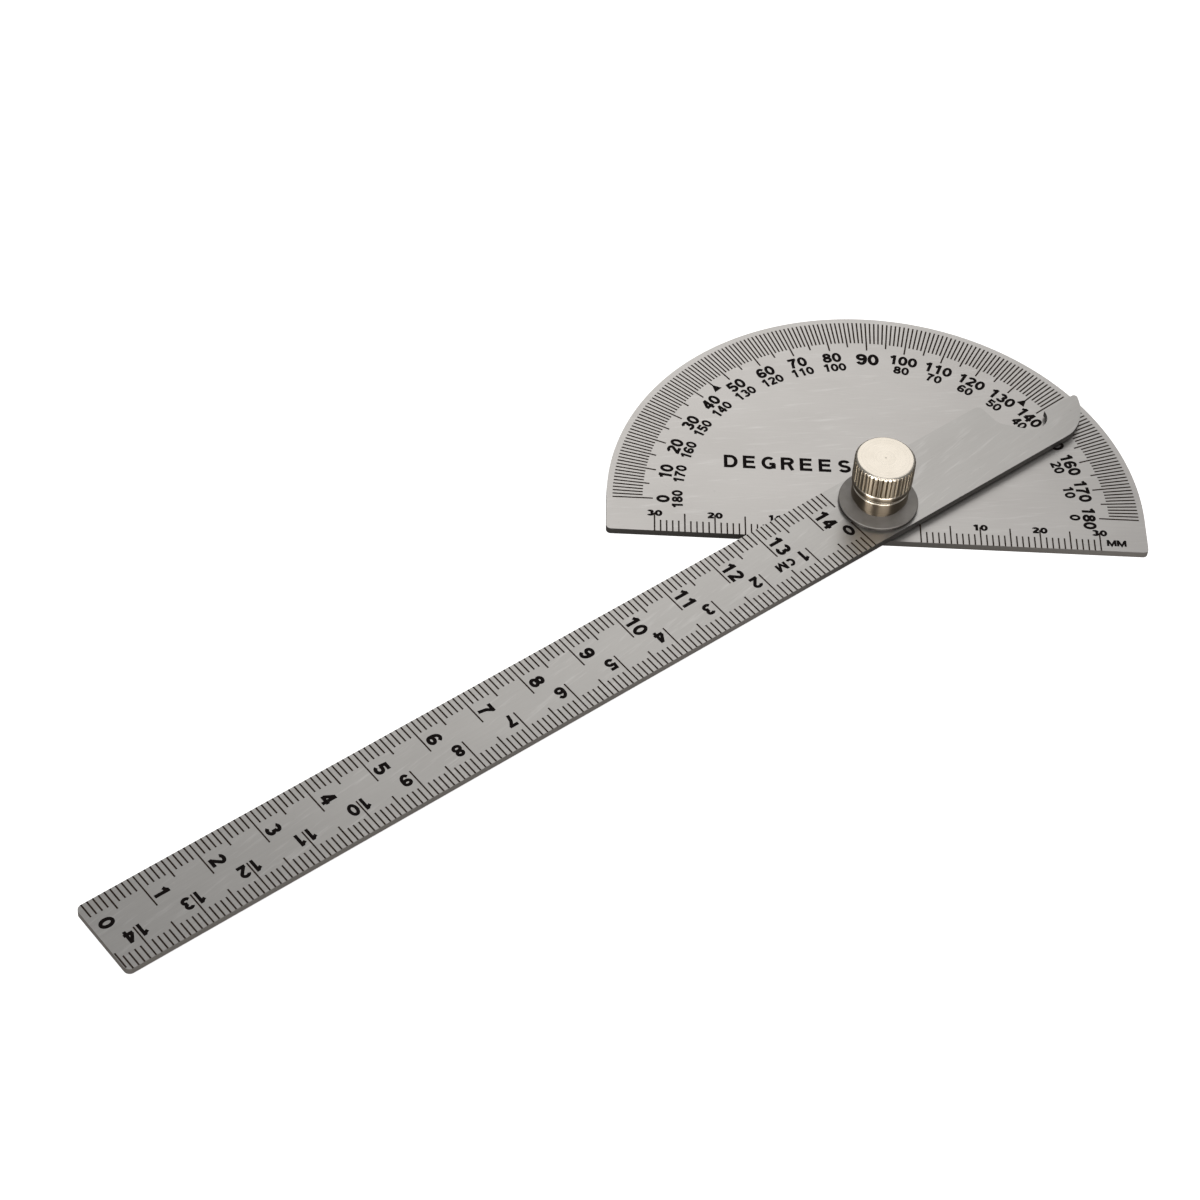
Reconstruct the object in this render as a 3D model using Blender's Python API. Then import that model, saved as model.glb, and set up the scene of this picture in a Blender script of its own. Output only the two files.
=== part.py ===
"""Protractor with a swinging rule, clamped by a washer and a fluted thumb nut.

Lengths are in metres. The origin is the centre of the degree scale, on the
underside of the plate: +X runs along the plate's straight base edge, +Y points
away from that edge and +Z points up, along the pivot.
"""
import math

import bmesh
import bpy

MM = 0.001

# Degree plate: a half disc with a straight base below its centre.
PLATE_RADIUS = 45.0 * MM
BASE_DROP = 7.2 * MM
PLATE_THICKNESS = 1.2 * MM
PLATE_CORNER_RADIUS = 0.8 * MM
PLATE_ARC_STEPS = 120

# Ruler arm: a flat bar with a hooked head. Its outline is drawn along and
# across the bar, from the pivot, and then turned to ARM_ANGLE.
ARM_ANGLE = math.radians(38.565)
ARM_HALF_WIDTH = 7.0 * MM
ARM_THICKNESS = 1.2 * MM
ARM_CLEARANCE = 0.3 * MM
ARM_TAIL_REACH = 151.6 * MM
ARM_CORNER_RADIUS = 1.0 * MM
HEAD_EDGE = 29.15 * MM
HEAD_HOLLOW_RADIUS = 2.5 * MM
READING_EDGE_OFFSET = -0.4 * MM
NOTCH_CENTRE = (34.65 * MM, 0.05 * MM)
NOTCH_RADIUS = 3.0 * MM
NOTCH_SLOPE = math.radians(-50.2)
NOSE_CENTRE = (35.25 * MM, 3.1 * MM)
NOSE_RADIUS = 10.4 * MM
NOSE_TIP_RADIUS = 0.6 * MM
NOSE_HEEL_RADIUS = 5.0 * MM

# Pivot stud: a post whose tail is set flush in the plate's underside.
STUD_RADIUS = 2.0 * MM
STUD_TOP = 10.8 * MM
STUD_TAIL_RADIUS = 2.95 * MM
STUD_TAIL_DEPTH = 0.7 * MM
THREAD_START = 3.4 * MM
THREAD_PITCH = 0.7 * MM
THREAD_DEPTH = 0.38 * MM
THREAD_ROWS_PER_PITCH = 4
STUD_SEGMENTS = 24

# Loose pieces are separated by a thin film of air, and turn on the stud.
FILM = 0.05 * MM
RUNNING_CLEARANCE = 0.15 * MM

SPACER_RADIUS = 5.5 * MM
SPACER_CHAMFER = 0.05 * MM
WASHER_RADIUS = 6.65 * MM
WASHER_THICKNESS = 0.7 * MM
WASHER_CHAMFER = 0.1 * MM

# Thumb nut: each step has its radius and the height of its top above the nut's foot.
NUT_HEIGHT = 9.9 * MM
NUT_NECK = (4.1 * MM, 1.2 * MM)
NUT_COLLAR = (4.75 * MM, 3.6 * MM)
NUT_GROOVE = (4.45 * MM, 4.1 * MM)
NUT_RING = (5.0 * MM, 5.3 * MM)
NUT_BARREL_RADIUS = 5.05 * MM
NUT_TOP_RADIUS = 4.5 * MM
NUT_TOP_CHAMFER = 0.4 * MM
NUT_EDGE = 0.15 * MM
FLUTE_COUNT = 40
FLUTE_DEPTH = 0.3 * MM
RIDGE_START = 0.3
RIDGE_END = 0.7
NUT_BORE_DEPTH = 8.0 * MM
NUT_BORE_CONE = 0.8 * MM
NUT_BORE_TIP_RADIUS = 0.2 * MM

ARM_BOTTOM = PLATE_THICKNESS + ARM_CLEARANCE
ARM_TOP = ARM_BOTTOM + ARM_THICKNESS
WASHER_BOTTOM = ARM_TOP + FILM
NUT_BOTTOM = WASHER_BOTTOM + WASHER_THICKNESS + FILM

ROUND_SEGMENTS = 64
BORE_SEGMENTS = 32
SHARP_EDGE = math.radians(30)

# Cutters run past the faces they open by this much.
CUTTER_MARGIN = 1.0 * MM


def clear_scene():
    for obj in list(bpy.data.objects):
        bpy.data.objects.remove(obj, do_unlink=True)


def metal(name, color, roughness):
    material = bpy.data.materials.new(name)
    material.use_nodes = True
    shader = material.node_tree.nodes["Principled BSDF"]
    shader.inputs["Base Color"].default_value = (*color, 1.0)
    shader.inputs["Roughness"].default_value = roughness
    shader.inputs["Metallic"].default_value = 1.0
    return material


def add_object(name, bm, material):
    bmesh.ops.recalc_face_normals(bm, faces=bm.faces)
    mesh = bpy.data.meshes.new(name)
    bm.to_mesh(mesh)
    bm.free()
    if material:
        mesh.materials.append(material)
    mesh.shade_smooth()
    mesh.set_sharp_from_angle(angle=SHARP_EDGE)
    obj = bpy.data.objects.new(name, mesh)
    bpy.context.scene.collection.objects.link(obj)
    return obj


def arc(centre, radius, start, end, steps):
    """Points on a circle from one angle to another, both ends included."""
    angles = [start + (end - start) * step / steps for step in range(steps + 1)]
    return [(centre[0] + radius * math.cos(a), centre[1] + radius * math.sin(a)) for a in angles]


def rounded_corner(before, corner, after, radius, steps=6):
    """Replace the corner between two straight edges by an arc that touches both."""
    to_before = math.atan2(before[1] - corner[1], before[0] - corner[0])
    to_after = math.atan2(after[1] - corner[1], after[0] - corner[0])
    opening = (to_after - to_before + math.pi) % (2 * math.pi) - math.pi
    middle = to_before + opening / 2
    distance = radius / math.sin(abs(opening) / 2)
    centre = (corner[0] + distance * math.cos(middle), corner[1] + distance * math.sin(middle))
    sweep = math.copysign(math.pi - abs(opening), -opening)
    start = middle + math.pi - sweep / 2
    return arc(centre, radius, start, start + sweep, steps)


def plate_from_outline(outline, bottom, thickness):
    bm = bmesh.new()
    verts = [bm.verts.new((x, y, bottom)) for x, y in outline]
    face = bm.faces.new(verts)
    extruded = bmesh.ops.extrude_face_region(bm, geom=[face])
    raised = [item for item in extruded["geom"] if isinstance(item, bmesh.types.BMVert)]
    bmesh.ops.translate(bm, verts=raised, vec=(0, 0, thickness))
    return bm


def lofted(rings, cap=True):
    """Join rings of points, each with the same count, into a closed tube."""
    bm = bmesh.new()
    loops = [[bm.verts.new(point) for point in ring] for ring in rings]
    pairs = zip(loops, loops[1:]) if cap else zip(loops, loops[1:] + loops[:1])
    for lower, upper in pairs:
        for i in range(len(lower)):
            j = (i + 1) % len(lower)
            bm.faces.new((lower[i], lower[j], upper[j], upper[i]))
    if cap:
        bm.faces.new(loops[0])
        bm.faces.new(loops[-1])
    return bm


def ring(radius, height, segments):
    return [(x, y, height) for x, y in arc((0, 0), radius, 0, 2 * math.pi, segments)[:-1]]


def turned(profile, segments=ROUND_SEGMENTS, cap=True):
    """Turn a list of (radius, height) about the Z axis."""
    return lofted([ring(radius, height, segments) for radius, height in profile], cap)


def cut(obj, name, profile, segments=ROUND_SEGMENTS):
    """Cut a turned shape out of an object."""
    cutter = add_object(name, turned(profile, segments), None)
    cutter.hide_render = True
    cutter.display_type = "WIRE"
    modifier = obj.modifiers.new(name, "BOOLEAN")
    modifier.operation = "DIFFERENCE"
    modifier.solver = "EXACT"
    modifier.object = cutter


def degree_plate(material):
    left = (-PLATE_RADIUS, -BASE_DROP)
    right = (PLATE_RADIUS, -BASE_DROP)
    outline = rounded_corner((-PLATE_RADIUS, 0), left, right, PLATE_CORNER_RADIUS)
    outline += rounded_corner(left, right, (PLATE_RADIUS, 0), PLATE_CORNER_RADIUS)
    outline += arc((0, 0), PLATE_RADIUS, 0, math.pi, PLATE_ARC_STEPS)
    plate = add_object("degree_plate", plate_from_outline(outline, 0, PLATE_THICKNESS), material)
    sink_slope = (STUD_TAIL_RADIUS - STUD_RADIUS) / STUD_TAIL_DEPTH
    cut(plate, "stud_seat", [
        (STUD_TAIL_RADIUS + FILM + sink_slope * CUTTER_MARGIN, -CUTTER_MARGIN),
        (STUD_RADIUS + FILM, STUD_TAIL_DEPTH),
        (STUD_RADIUS + FILM, PLATE_THICKNESS + CUTTER_MARGIN),
    ])
    return plate


def thread_depth(height, angle):
    """Depth of the helical groove, fading out at both ends of the thread."""
    phase = ((height - THREAD_START) / THREAD_PITCH - angle / (2 * math.pi)) % 1.0
    groove = 1.0 - abs(2.0 * phase - 1.0)
    fade_in = min(1.0, max(0.0, (height - THREAD_START) / THREAD_PITCH))
    fade_out = min(1.0, max(0.0, (STUD_TOP - height) / THREAD_PITCH))
    return THREAD_DEPTH * groove * min(fade_in, fade_out)


def pivot_stud(material):
    rings = [
        ring(STUD_TAIL_RADIUS, 0, STUD_SEGMENTS),
        ring(STUD_RADIUS, STUD_TAIL_DEPTH, STUD_SEGMENTS),
    ]
    row_height = THREAD_PITCH / THREAD_ROWS_PER_PITCH
    row_count = int((STUD_TOP - THREAD_START) / row_height)
    for row in range(row_count):
        height = THREAD_START + row * row_height
        points = []
        for segment in range(STUD_SEGMENTS):
            angle = 2 * math.pi * segment / STUD_SEGMENTS
            radius = STUD_RADIUS - thread_depth(height, angle)
            points.append((radius * math.cos(angle), radius * math.sin(angle), height))
        rings.append(points)
    rings.append(ring(STUD_RADIUS - THREAD_DEPTH, STUD_TOP, STUD_SEGMENTS))
    return add_object("pivot_stud", lofted(rings), material)


def washer(name, outer_radius, inner_radius, bottom, thickness, chamfer, material):
    top = bottom + thickness
    profile = [
        (inner_radius, bottom),
        (outer_radius - chamfer, bottom),
        (outer_radius, bottom + chamfer),
        (outer_radius, top - chamfer),
        (outer_radius - chamfer, top),
        (inner_radius, top),
    ]
    return add_object(name, turned(profile, cap=False), material)


def arm_outline():
    """The bar with its hooked head, counter-clockwise from the tail's lower corner."""
    lower = -ARM_HALF_WIDTH
    upper = ARM_HALF_WIDTH
    tail_lower = (-ARM_TAIL_REACH, lower)
    tail_upper = (-ARM_TAIL_REACH, upper)
    outline = rounded_corner(tail_upper, tail_lower, (0, lower), ARM_CORNER_RADIUS)

    # The nose is one arc, blended into the lower edge and into the reading edge.
    heel, heel_angle = blend_inside_nose(lower + NOSE_HEEL_RADIUS, NOSE_HEEL_RADIUS)
    tip, tip_angle = blend_inside_nose(READING_EDGE_OFFSET - NOSE_TIP_RADIUS, NOSE_TIP_RADIUS)
    outline += arc(heel, NOSE_HEEL_RADIUS, -math.pi / 2, heel_angle, 4)
    outline += arc(NOSE_CENTRE, NOSE_RADIUS, heel_angle, tip_angle, 16)[1:]
    outline += arc(tip, NOSE_TIP_RADIUS, tip_angle, math.pi / 2, 8)[1:]

    # The notch runs round under the reading edge and up a slope to the head's edge.
    mouth = math.asin((READING_EDGE_OFFSET - NOTCH_CENTRE[1]) / NOTCH_RADIUS)
    outline += arc(NOTCH_CENTRE, NOTCH_RADIUS, mouth, NOTCH_SLOPE - math.pi / 2, 20)
    slope_foot = outline[-1]
    hollow_height = slope_foot[1] + (HEAD_EDGE - slope_foot[0]) * math.tan(NOTCH_SLOPE)
    hollow = (HEAD_EDGE, hollow_height)
    head_upper = (HEAD_EDGE, upper)
    outline += rounded_corner(slope_foot, hollow, head_upper, HEAD_HOLLOW_RADIUS)
    outline += rounded_corner(hollow, head_upper, tail_upper, ARM_CORNER_RADIUS)
    outline += rounded_corner(head_upper, tail_upper, tail_lower, ARM_CORNER_RADIUS)
    return outline


def blend_inside_nose(centre_height, radius):
    """Centre of an arc that touches the nose from inside, and the angle where it does."""
    rise = centre_height - NOSE_CENTRE[1]
    run = math.sqrt((NOSE_RADIUS - radius) ** 2 - rise ** 2)
    return (NOSE_CENTRE[0] + run, centre_height), math.atan2(rise, run)


def ruler_arm(material):
    arm = add_object("ruler_arm", plate_from_outline(arm_outline(), ARM_BOTTOM, ARM_THICKNESS), material)
    hole_radius = STUD_RADIUS + RUNNING_CLEARANCE
    cut(arm, "arm_hole", [
        (hole_radius, ARM_BOTTOM - CUTTER_MARGIN),
        (hole_radius, ARM_TOP + CUTTER_MARGIN),
    ])
    arm.rotation_euler.z = ARM_ANGLE
    return arm


def fluted_ring(radius, height):
    """A ring with one valley and two ridge points for each flute."""
    points = []
    for flute in range(FLUTE_COUNT):
        for place, depth in ((0.0, FLUTE_DEPTH), (RIDGE_START, 0.0), (RIDGE_END, 0.0)):
            angle = 2 * math.pi * (flute + place) / FLUTE_COUNT
            local = radius - depth
            points.append((local * math.cos(angle), local * math.sin(angle), height))
    return points


def thumb_nut(material):
    segments = 3 * FLUTE_COUNT
    neck_radius, neck_top = NUT_NECK
    collar_radius, collar_top = NUT_COLLAR
    groove_radius, groove_top = NUT_GROOVE
    ring_radius, ring_top = NUT_RING
    smooth = [
        (neck_radius, 0),
        (neck_radius, neck_top),
        (collar_radius - NUT_EDGE, neck_top),
        (collar_radius, neck_top + NUT_EDGE),
        (collar_radius, collar_top - NUT_EDGE),
        (groove_radius, collar_top),
        (groove_radius, groove_top),
        (ring_radius, groove_top + NUT_EDGE),
        (ring_radius, ring_top),
    ]
    rings = [ring(radius, NUT_BOTTOM + height, segments) for radius, height in smooth]
    rings.append(fluted_ring(NUT_BARREL_RADIUS, NUT_BOTTOM + ring_top + NUT_EDGE))
    rings.append(fluted_ring(NUT_BARREL_RADIUS, NUT_BOTTOM + NUT_HEIGHT - NUT_TOP_CHAMFER))
    rings.append(ring(NUT_TOP_RADIUS, NUT_BOTTOM + NUT_HEIGHT, segments))
    nut = add_object("thumb_nut", lofted(rings), material)
    bore_radius = STUD_RADIUS + RUNNING_CLEARANCE
    bore_end = NUT_BOTTOM + NUT_BORE_DEPTH
    cut(nut, "nut_bore", [
        (bore_radius, NUT_BOTTOM - CUTTER_MARGIN),
        (bore_radius, bore_end),
        (NUT_BORE_TIP_RADIUS, bore_end + NUT_BORE_CONE),
    ], segments=BORE_SEGMENTS)
    return nut


def build():
    clear_scene()
    bright_steel = metal("brushed_steel", (0.56, 0.55, 0.53), 0.34)
    degree_plate(bright_steel)
    ruler_arm(metal("arm_steel", (0.58, 0.57, 0.55), 0.34))
    pivot_stud(metal("stud_steel", (0.45, 0.45, 0.45), 0.30))
    washer("spacer_washer", SPACER_RADIUS, STUD_RADIUS + FILM, PLATE_THICKNESS + FILM,
           ARM_CLEARANCE - 2 * FILM, SPACER_CHAMFER, metal("spacer_steel", (0.35, 0.35, 0.34), 0.40))
    washer("clamp_washer", WASHER_RADIUS, STUD_RADIUS + RUNNING_CLEARANCE, WASHER_BOTTOM,
           WASHER_THICKNESS, WASHER_CHAMFER, metal("washer_steel", (0.20, 0.20, 0.19), 0.38))
    thumb_nut(metal("nickelled_brass", (0.78, 0.74, 0.68), 0.22))


build()
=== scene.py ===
"""Looks of the protractor: its metals, its etched marks, the finely turned thumb nut, and the studio.

Lengths are in metres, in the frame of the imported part: the origin is the centre of the degree
scale on the plate's underside, +X runs along the base edge and +Z points up the pivot.
"""

import math

import bmesh
import bpy
from mathutils import Matrix, Quaternion, Vector
from mathutils.geometry import delaunay_2d_cdt


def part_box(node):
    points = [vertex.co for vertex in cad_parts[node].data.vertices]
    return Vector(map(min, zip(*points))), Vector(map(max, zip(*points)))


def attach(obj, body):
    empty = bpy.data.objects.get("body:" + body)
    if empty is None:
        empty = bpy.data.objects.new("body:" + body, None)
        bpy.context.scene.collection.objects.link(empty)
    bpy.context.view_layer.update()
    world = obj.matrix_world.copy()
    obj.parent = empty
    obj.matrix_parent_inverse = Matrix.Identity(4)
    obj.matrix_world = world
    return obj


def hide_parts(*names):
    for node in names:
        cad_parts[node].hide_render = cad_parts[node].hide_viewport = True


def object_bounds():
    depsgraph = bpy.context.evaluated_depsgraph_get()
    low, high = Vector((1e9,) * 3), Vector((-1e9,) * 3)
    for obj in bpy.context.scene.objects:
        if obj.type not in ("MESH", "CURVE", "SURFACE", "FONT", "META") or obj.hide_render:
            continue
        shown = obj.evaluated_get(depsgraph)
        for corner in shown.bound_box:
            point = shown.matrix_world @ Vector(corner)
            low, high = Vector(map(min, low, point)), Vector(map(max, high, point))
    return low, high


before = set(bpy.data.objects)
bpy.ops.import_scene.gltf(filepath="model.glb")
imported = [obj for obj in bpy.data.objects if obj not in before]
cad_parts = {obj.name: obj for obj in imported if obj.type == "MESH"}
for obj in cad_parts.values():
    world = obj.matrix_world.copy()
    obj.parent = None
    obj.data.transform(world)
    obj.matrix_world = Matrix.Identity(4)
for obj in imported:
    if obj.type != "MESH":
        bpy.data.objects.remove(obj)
cad_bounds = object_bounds()

MM = 0.001

# The arm's rest direction and half width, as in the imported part.
ARM_ANGLE = math.radians(38.565)
ARM_HALF_WIDTH = 7.0 * MM

# How far the stamped edges of the plate and the arm are rounded.
SOFT_EDGE = 0.12 * MM

# Etched marks are thin films that stand just proud of the steel.
MARK_ROOT = 0.004 * MM
MARK_RISE = 0.012 * MM

# Degree scale: radii of the ticks' ends and of the numbers' centres.
DEGREE_TICK_OUTER = 44.0 * MM
DEGREE_TICK_INNER = {1: 39.0 * MM, 5: 38.0 * MM, 10: 37.3 * MM}
DEGREE_TICK_WIDTH = {1: 0.27 * MM, 5: 0.27 * MM, 10: 0.27 * MM}
OUTER_NUMBER = (35.62 * MM, 2.25 * MM)
INNER_NUMBER = (33.25 * MM, 1.85 * MM)
RIGHT_ANGLE_NUMBER = (35.05 * MM, 2.7 * MM)
POINTER_APEX = 38.3 * MM
POINTER_BASE = 36.7 * MM
POINTER_HALF_WIDTH = 0.8 * MM

# Millimetre scales on the plate's base edge: two of them, running outwards.
BASE_ZERO = 7.05 * MM
BASE_LAST = 30
BASE_TICK_LENGTH = {1: 2.4 * MM, 5: 4.0 * MM, 10: 4.0 * MM}
BASE_TICK_WIDTH = 0.25 * MM
BASE_NUMBER_HEIGHT = 1.36 * MM
BASE_NUMBER_DROP = -3.28 * MM
BASE_DIGIT_OFFSET = 0.68 * MM
BASE_DIGIT_STRETCH = 1.2
BASE_UNIT = (39.75 * MM, -5.4 * MM)

# The word on the plate.
WORD = "DEGREES"
WORD_CENTRE = (-14.6 * MM, 9.3 * MM)
WORD_HEIGHT = 2.9 * MM

# Centimetre scales on the arm, along (from the pivot) and across (towards the upper edge).
ARM_UPPER_ZERO = -151.6 * MM
ARM_UPPER_TICK_LENGTH = {1: 2.75 * MM, 5: 3.75 * MM, 10: 6.65 * MM}
ARM_UPPER_NUMBER_HEIGHT = 2.6 * MM
ARM_UPPER_NUMBER_GAP = 0.52 * MM
ARM_UPPER_ZERO_GAP = 1.0 * MM
ARM_UPPER_NUMBER_ACROSS = 2.05 * MM
ARM_LOWER_ZERO = -6.6 * MM
ARM_LOWER_TICK_LENGTH = {1: 2.75 * MM, 5: 3.8 * MM, 10: 6.2 * MM}
ARM_LOWER_NUMBER_HEIGHT = 2.4 * MM
ARM_LOWER_NUMBER_ACROSS = -1.95 * MM
ARM_LOWER_SINGLE_GAP = 0.65 * MM
ARM_LOWER_PAIR_GAP = 0.42 * MM
ARM_LAST_TICK = 145
ARM_TICK_WIDTH = {1: 0.28 * MM, 5: 0.28 * MM, 10: 0.26 * MM}
ARM_TIP_TICK_INSET = 0.24 * MM
ARM_TIP_TICK_RISE = 0.7 * MM
ARM_UNIT = (-21.5 * MM, -1.8 * MM)
BASE_UNIT_HEIGHT = 1.35 * MM
ARM_UNIT_HEIGHT = 1.65 * MM

# Lettering: a bold upright face drawn with a pen, in a cell one unit high. Each kind has its own pen width.
PEN = 0.235
WORD_PEN = 0.21
SMALL_PEN = 0.28
CELL = 0.75
WORD_CELL = 1.1
ARM_NUMBER_CELL = 0.79
BASE_UNIT_CELL = 1.24
ARM_UNIT_CELL = 1.13
CURVE_STEP = math.radians(12)

# Thumb nut, with heights above its foot.
# Below this height the nut's upright faces take a deeper painted shade, the shade under the barrel.
COLLAR_SHADE_TOP = 5.1 * MM
FLUTE_COUNT = 40
FLUTE_PHASE = math.radians(2)
FLUTE_DEPTH = 0.2 * MM
FLUTE_STEPS = 12
FLUTE_VALLEY_WIDTH = 0.45

# Metals: the turn and tone of faint scuffs across the grain, and how far turned walls streak.
SCUFF_TURN = math.radians(9)
SCUFF_TONE = (0.74, 0.73, 0.72)
STREAK = 1.0
STREAK_ROUGHNESS = 0.4

# Studio: how bright the room and the pale floor look. The metal sees both darker than the camera does.
ROOM_BRIGHTNESS = 0.3
BACKDROP_BRIGHTNESS = 1.0
FLOOR_TONE = (0.9, 0.9, 0.9)
FLOOR_BOUNCE = (0.25, 0.24, 0.23)
FLOOR_GLOW = 0.9

# Soft panels: azimuth and elevation in degrees, distance, width and height in metres, radiance.
PANEL_COLOR = (1.0, 0.975, 0.945)
PANELS = {
    "back": (94, 42, 0.5, 0.3, 0.3, 1.0),
    "right_overhead": (31, 58, 1.0, 0.5, 0.5, 1.0),
    "front_overhead": (-98, 64, 1.0, 0.75, 0.3, 2.2),
    "front_fill": (-92, 18, 1.0, 1.4, 0.45, 0.9),
}
# Low panels that only the turned parts see, so that the flat steel doesn't glare from behind.
TURNED_PANELS = {
    "front_left": (-130, 16, 0.6, 0.22, 0.3, 15.0),
    "front_right": (-76, 16, 0.6, 0.4, 0.3, 9.0),
}


# Camera: where it looks on the plate's top, and how far off, from where and through what lens.
CAMERA_AIM = (-36.74 * MM, -22.75 * MM)
CAMERA_DISTANCE = 559.67 * MM
CAMERA_AZIMUTH = math.radians(5.062)
CAMERA_ELEVATION = math.radians(48.492)
CAMERA_ROLL = math.radians(-6.335)
CAMERA_LENS = 104.18
CAMERA_SHIFT = (-0.0475, 0.0013)


# ---------------------------------------------------------------- lettering

def bow(x, y, reach_x, reach_y, start, end):
    """Points on an ellipse from one angle to another, in degrees."""
    start = math.radians(start)
    end = math.radians(end)
    steps = max(2, round(abs(end - start) / CURVE_STEP))
    angles = [start + (end - start) * step / steps for step in range(steps + 1)]
    return [(x + reach_x * math.cos(a), y + reach_y * math.sin(a)) for a in angles]


def glyph_lines(pen):
    """The pen's paths for each character, centred on x = 0, from y = 0 to y = 1."""
    low = pen / 2
    high = 1 - pen / 2
    side = 0.245
    lower_bowl = (0, 0.305, 0.24, 0.305 - low)
    upper_bowl = (0, 0.715, 0.205, high - 0.715)
    loop = bow(*lower_bowl, 0, 360)
    hook = bow(0.03, 0.46, side + 0.03, high - 0.46, 38, 178) + [(-side, 0.33)]
    six = [loop, hook]
    flipped_six = [[(-x, 1 - y) for x, y in line] for line in six]
    stem = [(-side, 0), (-side, 1)]
    letter_side = 0.3
    letter_stem = [(-letter_side, 0), (-letter_side, 1)]
    return {
        "0": [bow(0, 0.5, side, 0.5 - low, 0, 360)],
        "1": [[(0.08, 0), (0.08, 1)], [(0.07, 0.93), (-0.06, 0.79), (-0.22, 0.71)]],
        "2": [bow(0, 0.70, 0.235, high - 0.70, 172, -32) + [(-0.235, 0.1)], [(-0.31, low), (0.31, low)]],
        "3": [bow(*upper_bowl, 160, -90), bow(*lower_bowl, 90, -160)],
        "4": [[(0.13, 0), (0.13, 1)], [(0.10, 0.95), (-0.27, 0.33)], [(-0.33, 0.3), (0.33, 0.3)]],
        "5": [[(0.27, high), (-0.17, high)], [(-0.165, 1), (-0.225, 0.47)],
              bow(0, 0.34, 0.245, 0.34 - low, 138, -162)],
        "6": six,
        "7": [[(-0.32, high), (0.32, high)], [(0.26, 0.95), (-0.02, 0.52), (-0.12, 0)]],
        "8": [loop, bow(*upper_bowl, 0, 360)],
        "9": flipped_six,
        "C": [bow(0.02, 0.5, 0.31, 0.5 - low, 48, 312)],
        "M": [[(-0.46, 0), (-0.46, 1)], [(0.46, 0), (0.46, 1)], [(-0.42, 0.9), (0, 0.08), (0.42, 0.9)]],
        "D": [letter_stem, [(-letter_side, high)] + bow(-0.02, 0.5, 0.31, 0.5 - low, 90, -90)
              + [(-letter_side, low)]],
        "E": [letter_stem, [(-letter_side, high), (0.3, high)], [(-letter_side, 0.52), (0.26, 0.52)],
              [(-letter_side, low), (0.32, low)]],
        "G": [bow(0, 0.5, 0.32, 0.5 - low, 50, 330), [(0.30, 0.06), (0.30, 0.46)],
              [(0.03, 0.42), (0.36, 0.42)]],
        "R": [letter_stem, [(-letter_side, high)] + bow(0.04, 0.71, 0.22, high - 0.71, 90, -90)
              + [(-letter_side, 0.505)], [(0.06, 0.5), (0.28, 0)]],
        "S": [bow(0, 0.7, 0.25, high - 0.7, 25, 270)[:-1] + bow(0, 0.3, 0.27, 0.3 - low, 90, -155)],
    }


def inked(line, width):
    """Four-cornered patches along a pen path, mitred where the path bends."""
    points = [Vector(point) for point in line]
    closed = (points[0] - points[-1]).length < 1e-6
    count = len(points)
    left = []
    right = []
    for i, point in enumerate(points):
        before = points[i - 1] if i else (points[-2] if closed else None)
        after = points[i + 1] if i < count - 1 else (points[1] if closed else None)
        into = (point - before).normalized() if before is not None else None
        out = (after - point).normalized() if after is not None else None
        into = into or out
        out = out or into
        across = Vector((-(into.y + out.y), into.x + out.x)).normalized()
        reach = width / 2 / max(0.5, across.dot(Vector((-out.y, out.x))))
        left.append(point + across * reach)
        right.append(point - across * reach)
    return [(left[i], right[i], right[i + 1], left[i + 1]) for i in range(count - 1)]


def joined_patches(patches):
    """One flat triangulated shape that covers overlapping patches, as points and triangles."""
    points = []
    faces = []
    for patch in patches:
        faces.append(list(range(len(points), len(points) + len(patch))))
        points.extend(Vector(corner) for corner in patch)
    merged, _, triangles, _, _, sources = delaunay_2d_cdt(points, [], faces, 0, 1e-5)
    covered = [triangle for triangle, source in zip(triangles, sources) if source]
    return [tuple(point) for point in merged], covered


def glyph_set(pen):
    return {
        name: joined_patches([patch for line in lines for patch in inked(line, pen)])
        for name, lines in glyph_lines(pen).items()
    }


DIGITS = glyph_set(PEN)
LETTERS = glyph_set(WORD_PEN)
SMALL = glyph_set(SMALL_PEN)


def ink_start(digit):
    """Where a digit's ink begins, left of its middle, in units of its height."""
    points, _ = DIGITS[digit]
    return min(x for x, _ in points)


def ink_end(digit):
    points, _ = DIGITS[digit]
    return max(x for x, _ in points)


# ---------------------------------------------------------------- marks

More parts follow.
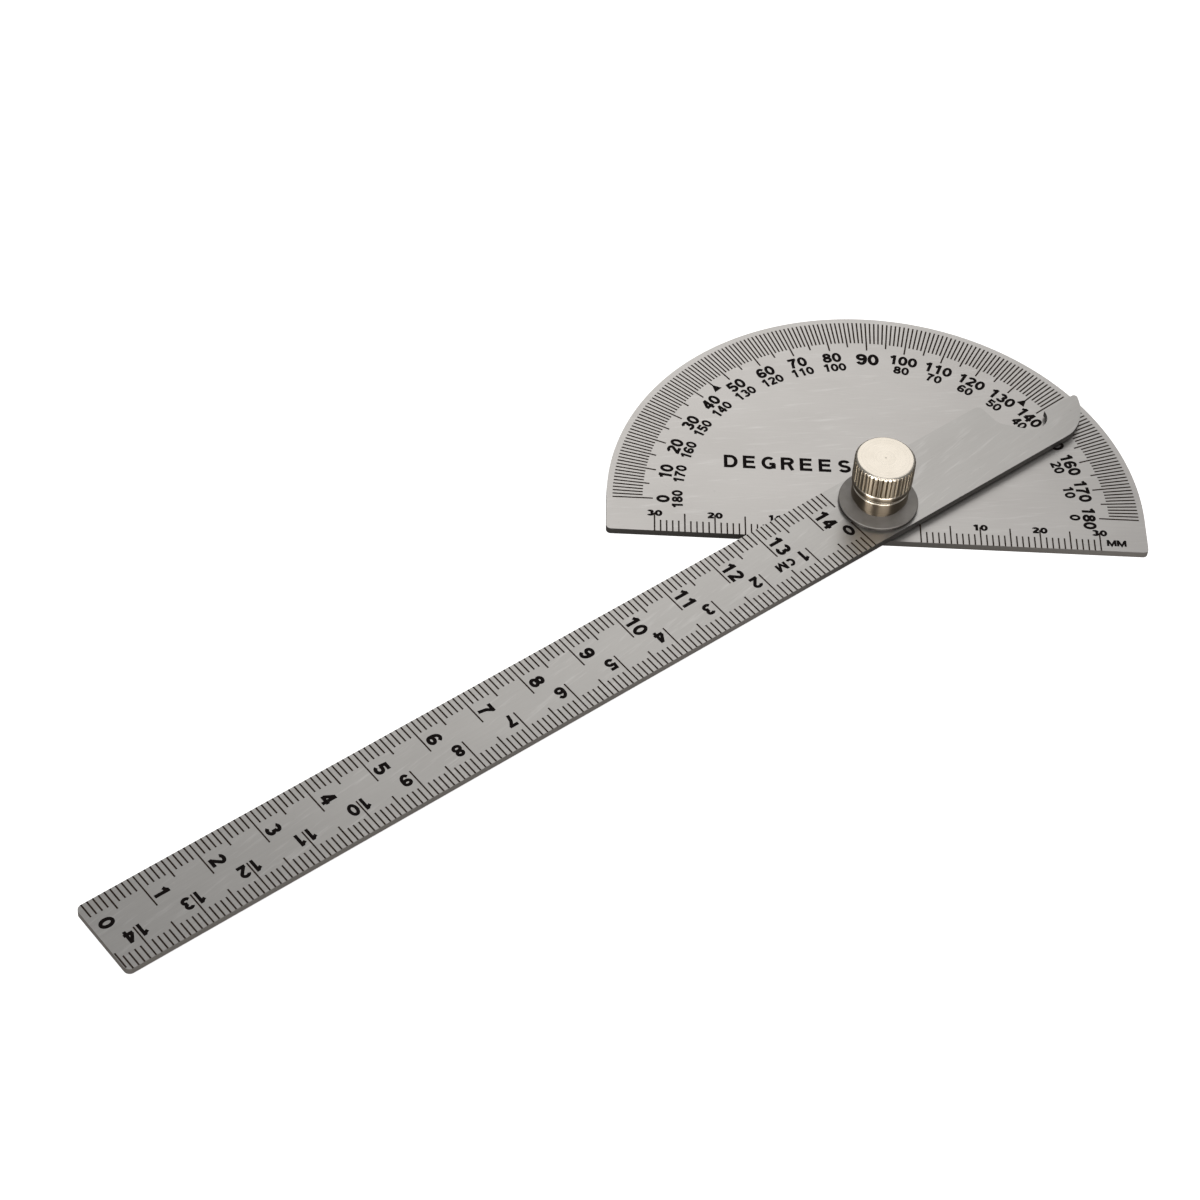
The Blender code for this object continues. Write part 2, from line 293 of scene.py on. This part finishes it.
class MarkSheet:
    """Flat marks collected into one closed thin mesh on a surface."""

    def __init__(self, surface, turn=0.0):
        self.bm = bmesh.new()
        self.low = surface - MARK_ROOT
        self.high = surface + MARK_RISE
        self.turn = Matrix.Rotation(turn, 2)

    def add(self, points, triangles):
        """Raise a flat shape into a closed film."""
        flat = [self.turn @ Vector(point) for point in points]
        used = sorted({i for triangle in triangles for i in triangle})
        lower = {i: self.bm.verts.new((flat[i].x, flat[i].y, self.low)) for i in used}
        upper = {i: self.bm.verts.new((flat[i].x, flat[i].y, self.high)) for i in used}
        directed = set()
        for triangle in triangles:
            self.bm.faces.new([upper[i] for i in triangle])
            self.bm.faces.new([lower[i] for i in reversed(triangle)])
            directed.update(zip(triangle, triangle[1:] + triangle[:1]))
        for a, b in directed:
            if (b, a) not in directed:
                self.bm.faces.new((lower[a], lower[b], upper[b], upper[a]))

    def patch(self, corners):
        self.add(corners, [list(range(len(corners)))])

    def line(self, start, end, width):
        along = (Vector(end) - Vector(start)).normalized()
        across = Vector((-along.y, along.x)) * width / 2
        start = Vector(start)
        end = Vector(end)
        self.patch([start + across, start - across, end - across, end + across])

    def text(self, words, centre, height, angle=0.0, cell=CELL, stretch=1.0, glyphs=DIGITS):
        """Write words centred on a point; angle turns the reading direction."""
        turn = Matrix.Rotation(angle, 2)
        for i, letter in enumerate(words):
            shift = (i - (len(words) - 1) / 2) * cell * stretch
            points, triangles = glyphs[letter]
            placed = []
            for x, y in points:
                local = Vector((x * stretch + shift, y - 0.5)) * height
                placed.append(Vector(centre) + turn @ local)
            self.add(placed, triangles)

    def finish(self, name, body, material):
        bmesh.ops.recalc_face_normals(self.bm, faces=self.bm.faces)
        mesh = bpy.data.meshes.new(name)
        self.bm.to_mesh(mesh)
        self.bm.free()
        mesh.materials.append(material)
        marks = bpy.data.objects.new(name, mesh)
        bpy.context.scene.collection.objects.link(marks)
        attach(marks, body)
        return marks


def tick_kind(count):
    """10, 5 or 1: the longest kind of tick that a count deserves."""
    return 10 if count % 10 == 0 else 5 if count % 5 == 0 else 1


def polar(radius, angle):
    return Vector((radius * math.cos(angle), radius * math.sin(angle)))


def degree_marks(surface, body, ink, fine_ink):
    ticks = MarkSheet(surface)
    for degree in range(181):
        kind = tick_kind(degree)
        angle = math.pi - math.radians(degree)
        ticks.line(polar(DEGREE_TICK_INNER[kind], angle), polar(DEGREE_TICK_OUTER, angle),
                   DEGREE_TICK_WIDTH[kind])
    ticks.finish("degree_ticks", body, fine_ink)

    numbers = MarkSheet(surface)
    for degree in range(0, 181, 10):
        angle = math.pi - math.radians(degree)
        reading = angle - math.pi / 2
        if degree == 90:
            rows = [(str(degree), RIGHT_ANGLE_NUMBER)]
        else:
            rows = [(str(degree), OUTER_NUMBER), (str(180 - degree), INNER_NUMBER)]
        for number, (radius, height) in rows:
            numbers.text(number, polar(radius, angle), height, reading)
    numbers.finish("degree_numbers", body, ink)

    pointers = MarkSheet(surface)
    for degree in (45, 135):
        angle = math.radians(degree)
        across = polar(POINTER_HALF_WIDTH, angle + math.pi / 2)
        base = polar(POINTER_BASE, angle)
        pointers.patch([polar(POINTER_APEX, angle), base + across, base - across])
    pointers.finish("degree_pointers", body, ink)


def base_edge_marks(surface, base, body, ink, fine_ink):
    ticks = MarkSheet(surface)
    numbers = MarkSheet(surface)
    for side in (-1, 1):
        for count in range(BASE_LAST + 1):
            x = side * (BASE_ZERO + count * MM)
            kind = tick_kind(count)
            ticks.line((x, base), (x, base + BASE_TICK_LENGTH[kind]), BASE_TICK_WIDTH)
            if kind == 10 and count:
                for digit, offset in zip(str(count), (-BASE_DIGIT_OFFSET, BASE_DIGIT_OFFSET)):
                    numbers.text(digit, (x + offset, BASE_NUMBER_DROP), BASE_NUMBER_HEIGHT,
                                 stretch=BASE_DIGIT_STRETCH, glyphs=SMALL)
    numbers.text("MM", BASE_UNIT, BASE_UNIT_HEIGHT, cell=BASE_UNIT_CELL, glyphs=SMALL)
    ticks.finish("base_ticks", body, fine_ink)
    numbers.finish("base_numbers", body, ink)


def plate_word(surface, body, ink):
    word = MarkSheet(surface)
    word.text(WORD, WORD_CENTRE, WORD_HEIGHT, cell=WORD_CELL, glyphs=LETTERS)
    word.finish("plate_word", body, ink)


def arm_marks(surface, half_width, body, ink, fine_ink):
    ticks = MarkSheet(surface, ARM_ANGLE)
    numbers = MarkSheet(surface, ARM_ANGLE)
    up_the_arm = -math.pi / 2
    upside_down = math.pi
    for count in range(ARM_LAST_TICK + 1):
        kind = tick_kind(count)
        upper = ARM_UPPER_ZERO + count * MM
        lower = ARM_LOWER_ZERO - count * MM
        if count:
            ticks.line((upper, half_width - ARM_UPPER_TICK_LENGTH[kind]), (upper, half_width),
                       ARM_TICK_WIDTH[kind])
        foot = -half_width
        if count == ARM_LAST_TICK:
            lower += ARM_TIP_TICK_INSET
            foot += ARM_TIP_TICK_RISE
        ticks.line((lower, foot), (lower, ARM_LOWER_TICK_LENGTH[kind] - half_width), ARM_TICK_WIDTH[kind])
        if kind < 10:
            continue
        digits = str(count // 10)
        gap = ARM_UPPER_NUMBER_GAP if count else ARM_UPPER_ZERO_GAP
        rise = upper + gap + ARM_UPPER_NUMBER_HEIGHT / 2
        numbers.text(digits, (rise, ARM_UPPER_NUMBER_ACROSS), ARM_UPPER_NUMBER_HEIGHT, up_the_arm,
                     cell=ARM_NUMBER_CELL)
        tens, ones = digits[:-1], digits[-1]
        gap = ARM_LOWER_PAIR_GAP if tens else ARM_LOWER_SINGLE_GAP
        places = [(ones, lower - gap + ink_start(ones) * ARM_LOWER_NUMBER_HEIGHT)]
        if tens:
            places.append((tens, lower + gap + ink_end(tens) * ARM_LOWER_NUMBER_HEIGHT))
        for digit, along in places:
            numbers.text(digit, (along, ARM_LOWER_NUMBER_ACROSS), ARM_LOWER_NUMBER_HEIGHT, upside_down)
    numbers.text("CM", ARM_UNIT, ARM_UNIT_HEIGHT, upside_down, cell=ARM_UNIT_CELL, glyphs=SMALL)
    ticks.finish("arm_ticks", body, fine_ink)
    numbers.finish("arm_numbers", body, ink)


# ---------------------------------------------------------------- thumb nut

def nut_profile():
    """Radius and height of the nut from the bore's end, down the bore, and up the outside."""
    return [
        (0.0, 8.7), (0.3, 8.7), (2.15, 8.0), (2.15, 0.25), (2.4, 0.0),
        (3.9, 0.0), (4.02, 0.04), (4.1, 0.15), (4.1, 1.1),
        (4.14, 1.17), (4.25, 1.2), (4.55, 1.2), (4.69, 1.25), (4.75, 1.38),
        (4.75, 3.35), (4.72, 3.48), (4.64, 3.56), (4.5, 3.6),
        (4.4, 3.68), (4.4, 3.95), (4.5, 4.04),
        (4.74, 4.1), (4.9, 4.22), (4.98, 4.45), (5.0, 4.75), (4.98, 5.0), (4.9, 5.2), (4.8, 5.3),
    ]


def flute_valley(place):
    """1 at the bottom of a flute and 0 on its broad ridge; place runs from 0 to 1 across one flute."""
    from_valley = min(place, 1 - place) * 2 / FLUTE_VALLEY_WIDTH
    return math.cos(math.pi / 2 * min(1.0, from_valley)) ** 1.5


def thumb_nut(foot, material):
    """The nut turned from its profile, with straight flutes that a chamfer runs out through."""
    steps = FLUTE_COUNT * FLUTE_STEPS
    barrel_radius = 5.05
    barrel = [
        (5.36, 4.85), (5.42, 5.0), (5.5, barrel_radius),
        (9.42, barrel_radius), (9.5, 5.03), (9.58, 4.96), (9.66, 4.9), (9.74, 4.84), (9.8, 4.78),
    ]
    crown = [
        (4.71, 9.86), (4.66, 9.885), (4.6, 9.9), (4.52, 9.9),
        (0.24, 9.9), (0.14, 9.9), (0.1, 9.86), (0.0, 9.83),
    ]
    depth = FLUTE_DEPTH / MM

    bm = bmesh.new()
    valley_layer = bm.verts.layers.float.new("valley")
    loops = []

    def add_loop(height, limit, fluted):
        loop = []
        for step in range(steps):
            angle = 2 * math.pi * step / steps + FLUTE_PHASE
            valley = flute_valley((step % FLUTE_STEPS) / FLUTE_STEPS) if fluted else 0.0
            radius = min(limit, barrel_radius - depth * valley) if fluted else limit
            spot = polar(radius * MM, angle)
            vert = bm.verts.new((spot.x, spot.y, foot + height * MM))
            vert[valley_layer] = valley if radius < limit - 0.01 else 0.0
            loop.append(vert)
        loops.append(loop)

    first, *profile = nut_profile()
    bore_end = bm.verts.new((0, 0, foot + first[1] * MM))
    for radius, height in profile:
        add_loop(height, radius, False)
    for height, limit in barrel:
        add_loop(height, limit, True)
    *rims, last = crown
    for radius, height in rims:
        add_loop(height, radius, False)
    dimple = bm.verts.new((0, 0, foot + last[1] * MM))

    for i in range(steps):
        j = (i + 1) % steps
        bm.faces.new((bore_end, loops[0][j], loops[0][i]))
        bm.faces.new((dimple, loops[-1][i], loops[-1][j]))
        for inner, outer in zip(loops, loops[1:]):
            bm.faces.new((inner[i], inner[j], outer[j], outer[i]))
    bmesh.ops.recalc_face_normals(bm, faces=bm.faces)
    mesh = bpy.data.meshes.new("thumb_nut_turned")
    bm.to_mesh(mesh)
    bm.free()
    mesh.materials.append(material)
    mesh.shade_smooth()
    mesh.set_sharp_from_angle(angle=math.radians(38))
    nut = bpy.data.objects.new("thumb_nut_turned", mesh)
    bpy.context.scene.collection.objects.link(nut)
    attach(nut, "nut")
    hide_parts("thumb_nut")
    return nut


# ---------------------------------------------------------------- materials

class Shader:
    """A Principled material with short helpers for its procedural nodes."""

    def __init__(self, name, metallic=1.0):
        self.material = bpy.data.materials.new(name)
        self.material.use_nodes = True
        self.tree = self.material.node_tree
        self.principled = self.tree.nodes["Principled BSDF"]
        self.principled.inputs["Metallic"].default_value = metallic

    def node(self, kind, inputs=(), **settings):
        node = self.tree.nodes.new(kind)
        for key, value in settings.items():
            setattr(node, key, value)
        for key, value in dict(inputs).items():
            self.feed(node.inputs[key], value)
        return node

    def feed(self, socket, value):
        if isinstance(value, bpy.types.NodeSocket):
            self.tree.links.new(value, socket)
        else:
            socket.default_value = value

    def place(self, turn=0.0, scale=(1, 1, 1)):
        """Object coordinates, turned about Z and scaled."""
        coordinates = self.node("ShaderNodeTexCoord").outputs["Object"]
        turned = self.node("ShaderNodeVectorRotate", {"Vector": coordinates, "Angle": -turn},
                           rotation_type="Z_AXIS")
        return self.node("ShaderNodeVectorMath", {0: turned.outputs[0], 1: scale},
                         operation="MULTIPLY").outputs[0]

    def noise(self, vector, scale, detail=3.0, roughness=0.55):
        return self.node("ShaderNodeTexNoise", {
            "Vector": vector, "Scale": scale, "Detail": detail, "Roughness": roughness,
        }).outputs["Fac"]

    def remap(self, value, low, high, to_low, to_high):
        return self.node("ShaderNodeMapRange", {
            "Value": value, "From Min": low, "From Max": high, "To Min": to_low, "To Max": to_high,
        }).outputs["Result"]

    def math(self, operation, a, b):
        return self.node("ShaderNodeMath", {0: a, 1: b}, operation=operation).outputs[0]

    def mix(self, factor, a, b):
        node = self.node("ShaderNodeMix", data_type="RGBA")
        self.feed(node.inputs["Factor"], factor)
        self.feed(node.inputs[6], a)
        self.feed(node.inputs[7], b)
        return node.outputs[2]

    def blend_values(self, factor, a, b):
        node = self.node("ShaderNodeMix", data_type="FLOAT")
        self.feed(node.inputs[0], factor)
        self.feed(node.inputs[2], a)
        self.feed(node.inputs[3], b)
        return node.outputs[0]

    def bump(self, height, distance, strength=1.0):
        return self.node("ShaderNodeBump", {
            "Height": height, "Distance": distance, "Strength": strength,
        }).outputs["Normal"]

    def wall(self):
        """1 on faces that stand upright, 0 on level ones."""
        normal = self.node("ShaderNodeNewGeometry").outputs["Normal"]
        up = self.node("ShaderNodeSeparateXYZ", {"Vector": normal}).outputs["Z"]
        level = self.math("ABSOLUTE", up, 0.0)
        return self.remap(level, 0.35, 0.85, 1.0, 0.0)

    def set(self, **inputs):
        for key, value in inputs.items():
            name = key.replace("_", " ").title().replace("Ior", "IOR")
            self.feed(self.principled.inputs[name], value)


def brushed_steel(name, grain, light, dark, edges):
    """Satin stainless sheet: fine grain along one direction, faint clouds, and sheared walls in painted
    shade and painted light.

    The walls' painted shade goes from one tone to another between two places along the grain, darker where
    less light falls on them and lighter where more does; the specks take the same painted tone.
    """
    shader = Shader(name)
    streaks = shader.noise(shader.place(grain, (90, 2600, 90)), 1.0, 4.0, 0.6)
    fine = shader.noise(shader.place(grain, (500, 6000, 500)), 1.0, 2.0, 0.6)
    clouds = shader.noise(shader.place(grain, (45, 110, 45)), 1.0, 3.0, 0.5)
    scuffs = shader.noise(shader.place(grain + SCUFF_TURN, (140, 1500, 140)), 1.0, 3.0, 0.6)
    specks = shader.noise(shader.place(0.0, (1500, 1500, 1500)), 1.0, 2.0, 0.5)
    streak_tone = shader.remap(streaks, 0.3, 0.7, 0.0, 0.5)
    cloud_tone = shader.remap(clouds, 0.35, 0.65, 0.0, 0.5)
    tone = shader.math("ADD", streak_tone, cloud_tone)
    level = shader.mix(tone, (*dark, 1), (*light, 1))
    scuffed = shader.mix(shader.remap(scuffs, 0.56, 0.76, 0.0, 0.4), level, (*SCUFF_TONE, 1))
    # Wall tone: painted shade and painted light, graded along the grain.
    (start, start_tone), (end, end_tone) = edges
    along = shader.node("ShaderNodeSeparateXYZ", {"Vector": shader.place(grain)}).outputs["X"]
    painted_wall_shade = shader.mix(shader.remap(along, start, end, 0.0, 1.0), (*start_tone, 1), (*end_tone, 1))
    pitted = shader.mix(shader.remap(specks, 0.70, 0.80, 0.0, 0.2), scuffed, painted_wall_shade)
    wall = shader.wall()
    # Upright faces show the painted wall shade in place of the sheet's colour.
    shader.set(base_color=shader.mix(wall, pitted, painted_wall_shade))
    shader.set(roughness=shader.remap(shader.math("ADD", streaks, wall), 0.3, 1.7, 0.36, 0.5))
    shader.set(normal=shader.bump(shader.math("ADD", streaks, fine), 0.004 * MM, 0.5))
    return shader.material


def turned_metal(name, light, dark, roughness, ring_depth, metallic=1.0, side=None, valley_color=None,
                 painted_collar_shade=None):
    """Metal from a lathe: fine rings about the pivot, slight clouding, and streaked upright faces.

    Upright faces take the side tone, a darker copy of the metal that is painted shade, and flutes the
    valley tone. The collar's painted shade is a tone and the height below which the upright faces take it,
    a deeper painted shade under the barrel.
    """
    shader = Shader(name, metallic)
    coordinates = shader.place()
    flat = shader.node("ShaderNodeVectorMath", {0: coordinates, 1: (1, 1, 0)},
                       operation="MULTIPLY").outputs[0]
    radius = shader.node("ShaderNodeVectorMath", {0: flat}, operation="LENGTH").outputs["Value"]
    height = shader.node("ShaderNodeSeparateXYZ", {"Vector": coordinates}).outputs["Z"]
    ring_place = shader.node("ShaderNodeCombineXYZ", {"X": radius, "Y": height}).outputs[0]
    rings = shader.noise(ring_place, 9000.0, 2.0, 0.5)
    clouds = shader.noise(coordinates, 420.0, 3.0, 0.5)
    color = shader.mix(shader.remap(clouds, 0.35, 0.65, 0.0, 1.0), (*dark, 1), (*light, 1))
    wall = shader.wall()
    wall_roughness = max(roughness, STREAK_ROUGHNESS)
    # The side tone is painted shade: upright faces darker than the level ones.
    if side:
        side = (*side, 1)
        # Below the limit the upright faces take a deeper painted shade, the shade under the nut's barrel.
        if painted_collar_shade:
            tone, limit = painted_collar_shade
            above = shader.remap(height, limit - 0.3 * MM, limit + 0.3 * MM, 0.0, 1.0)
            side = shader.mix(above, (*tone, 1), side)
        color = shader.mix(wall, color, side)
    if valley_color:
        valley = shader.node("ShaderNodeAttribute", attribute_name="valley").outputs["Fac"]
        color = shader.mix(shader.remap(valley, 0.15, 0.75, 0.0, 1.0), color, (*valley_color, 1))
    shader.set(base_color=color)
    level_roughness = shader.remap(rings, 0.3, 0.7, roughness - 0.03, roughness + 0.05)
    shader.set(roughness=shader.blend_values(wall, level_roughness, wall_roughness))
    shader.set(normal=shader.bump(rings, ring_depth, 0.6))
    tangent = shader.node("ShaderNodeTangent", direction_type="RADIAL", axis="Z").outputs[0]
    streak = shader.remap(wall, 0.0, 1.0, 0.0, STREAK)
    shader.set(tangent=tangent, anisotropic=streak, anisotropic_rotation=0.25)
    return shader.material


def etched_ink(name, dark, light):
    """The oxide of an etched mark: dull, nearly black, and a little uneven."""
    shader = Shader(name, metallic=0.0)
    grain = shader.noise(shader.place(), 3500.0, 3.0, 0.6)
    shader.set(base_color=shader.mix(shader.remap(grain, 0.35, 0.7, 0.0, 1.0), (*dark, 1), (*light, 1)))
    shader.set(roughness=shader.remap(grain, 0.3, 0.7, 0.6, 0.75), specular_ior_level=0.08)
    return shader.material


# ---------------------------------------------------------------- studio

def dress(node, material):
    """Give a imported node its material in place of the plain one."""
    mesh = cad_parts[node].data
    mesh.materials.clear()
    mesh.materials.append(material)


def soften_edges(node, width):
    """Round the stamped edges of a flat part."""
    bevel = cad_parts[node].modifiers.new("edges", "BEVEL")
    bevel.width = width
    bevel.segments = 2
    bevel.limit_method = "ANGLE"
    bevel.angle_limit = math.radians(40)


def soft_panel(name, azimuth, elevation, distance, width, height, radiance, receivers=None):
    """A rectangular light that faces the origin and glows evenly, on everything or on the receivers."""
    azimuth = math.radians(azimuth)
    elevation = math.radians(elevation)
    direction = Vector((*polar(math.cos(elevation), azimuth), math.sin(elevation)))
    light = bpy.data.lights.new(name, "AREA")
    light.shape = "RECTANGLE"
    light.size = width
    light.size_y = height
    light.energy = radiance * math.pi * width * height
    light.color = PANEL_COLOR
    lamp = bpy.data.objects.new(name, light)
    bpy.context.scene.collection.objects.link(lamp)
    lamp.location = direction * distance
    lamp.rotation_euler = direction.to_track_quat("Z", "Y").to_euler()
    if receivers:
        lamp.light_linking.receiver_collection = receivers


def studio(turned_parts):
    world = bpy.data.worlds.new("studio")
    bpy.context.scene.world = world
    world.use_nodes = True
    nodes = world.node_tree.nodes
    links = world.node_tree.links
    background = nodes["Background"]
    background.inputs["Color"].default_value = (1.0, 1.0, 1.0, 1.0)
    strength = nodes.new("ShaderNodeMapRange")
    strength.inputs["To Min"].default_value = ROOM_BRIGHTNESS
    strength.inputs["To Max"].default_value = BACKDROP_BRIGHTNESS
    links.new(nodes.new("ShaderNodeLightPath").outputs["Is Camera Ray"], strength.inputs["Value"])
    links.new(strength.outputs["Result"], background.inputs["Strength"])

    floor_mesh = bpy.data.meshes.new("floor")
    floor_mesh.from_pydata([(-3, -3, 0), (3, -3, 0), (3, 3, 0), (-3, 3, 0)], [], [(0, 1, 2, 3)])
    floor = bpy.data.objects.new("floor", floor_mesh)
    floor.location.z = cad_bounds[0].z - 0.05 * MM
    bpy.context.scene.collection.objects.link(floor)
    paint = Shader("pale_floor", metallic=0.0)
    seen = paint.node("ShaderNodeLightPath").outputs["Is Camera Ray"]
    paint.set(base_color=paint.mix(seen, (*FLOOR_BOUNCE, 1), (*FLOOR_TONE, 1)), roughness=0.8)
    paint.set(emission_color=(1, 1, 1, 1), emission_strength=paint.math("MULTIPLY", seen, FLOOR_GLOW))
    floor_mesh.materials.append(paint.material)

    for name, panel in PANELS.items():
        soft_panel(name, *panel)
    receivers = bpy.data.collections.new("turned_parts")
    for part in turned_parts:
        receivers.objects.link(part)
    for name, panel in TURNED_PANELS.items():
        soft_panel(name, *panel, receivers=receivers)
    bpy.context.scene.view_settings.view_transform = "Standard"


def camera(plate_top):
    """Above and in front of the pivot, looking down at the plate and the arm."""
    aim = Vector((*CAMERA_AIM, plate_top))
    level = math.cos(CAMERA_ELEVATION)
    forward = Vector((math.sin(CAMERA_AZIMUTH) * level, math.cos(CAMERA_AZIMUTH) * level,
                      -math.sin(CAMERA_ELEVATION)))
    data = bpy.data.cameras.new("camera")
    data.sensor_width = 36.0
    data.lens = CAMERA_LENS
    data.shift_x, data.shift_y = CAMERA_SHIFT
    data.clip_start = 0.01
    viewer = bpy.data.objects.new("camera", data)
    bpy.context.scene.collection.objects.link(viewer)
    viewer.location = aim - forward * CAMERA_DISTANCE
    viewer.rotation_mode = "QUATERNION"
    viewer.rotation_quaternion = Quaternion(forward, CAMERA_ROLL) @ forward.to_track_quat("-Z", "Y")
    bpy.context.scene.camera = viewer


def build():
    plate_low, plate_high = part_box("degree_plate")
    arm_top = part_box("ruler_arm")[1].z
    nut_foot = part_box("thumb_nut")[0].z

    ink = etched_ink("etched_ink", (0.003, 0.002, 0.002), (0.012, 0.008, 0.007))
    fine_ink = etched_ink("etched_fine_ink", (0.022, 0.014, 0.011), (0.055, 0.037, 0.03))
    degree_marks(plate_high.z, "base", ink, fine_ink)
    base_edge_marks(plate_high.z, plate_low.y, "base", ink, fine_ink)
    plate_word(plate_high.z, "base", ink)
    arm_marks(arm_top, ARM_HALF_WIDTH, "arm", ink, fine_ink)

    # Wall tones: painted shade and painted light on the sheared walls, darker or lighter by how the lamps
    # fall on them.
    shaded_wall_tone = (0.13, 0.124, 0.118)
    half_shaded_wall_tone = (0.25, 0.24, 0.23)
    lit_wall_tone = (0.72, 0.69, 0.66)
    dress("degree_plate", brushed_steel("plate_steel", 0.0, (0.60, 0.585, 0.57), (0.54, 0.525, 0.51),
                                        [(-10 * MM, half_shaded_wall_tone), (35 * MM, lit_wall_tone)]))
    dress("ruler_arm", brushed_steel("arm_steel", ARM_ANGLE, (0.545, 0.535, 0.52), (0.485, 0.475, 0.46),
                                     [(-32 * MM, lit_wall_tone), (-2 * MM, shaded_wall_tone)]))
    # The washer's very dark side tone is painted shade on its rim.
    dress("clamp_washer", turned_metal("washer_steel", (0.205, 0.195, 0.185), (0.17, 0.162, 0.15), 0.5,
                                       0.003 * MM, metallic=0.5, side=(0.03, 0.027, 0.024)))
    dress("spacer_washer", turned_metal("spacer_steel", (0.36, 0.36, 0.35), (0.3, 0.3, 0.29), 0.4,
                                        0.003 * MM))
    dress("pivot_stud", turned_metal("stud_steel", (0.5, 0.5, 0.49), (0.42, 0.42, 0.41), 0.28, 0.002 * MM))
    # The nut's side tone and its darker lower tone are painted shade on its upright faces.
    nickel = turned_metal("warm_nickel", (0.74, 0.69, 0.61), (0.7, 0.65, 0.57), 0.2, 0.001 * MM,
                          side=(0.27, 0.23, 0.175), valley_color=(0.17, 0.14, 0.1),
                          painted_collar_shade=((0.155, 0.127, 0.094), nut_foot + COLLAR_SHADE_TOP))
    nut = thumb_nut(nut_foot, nickel)
    soften_edges("degree_plate", SOFT_EDGE)
    soften_edges("ruler_arm", SOFT_EDGE)
    studio([nut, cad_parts["clamp_washer"]])
    camera(plate_high.z)


build()
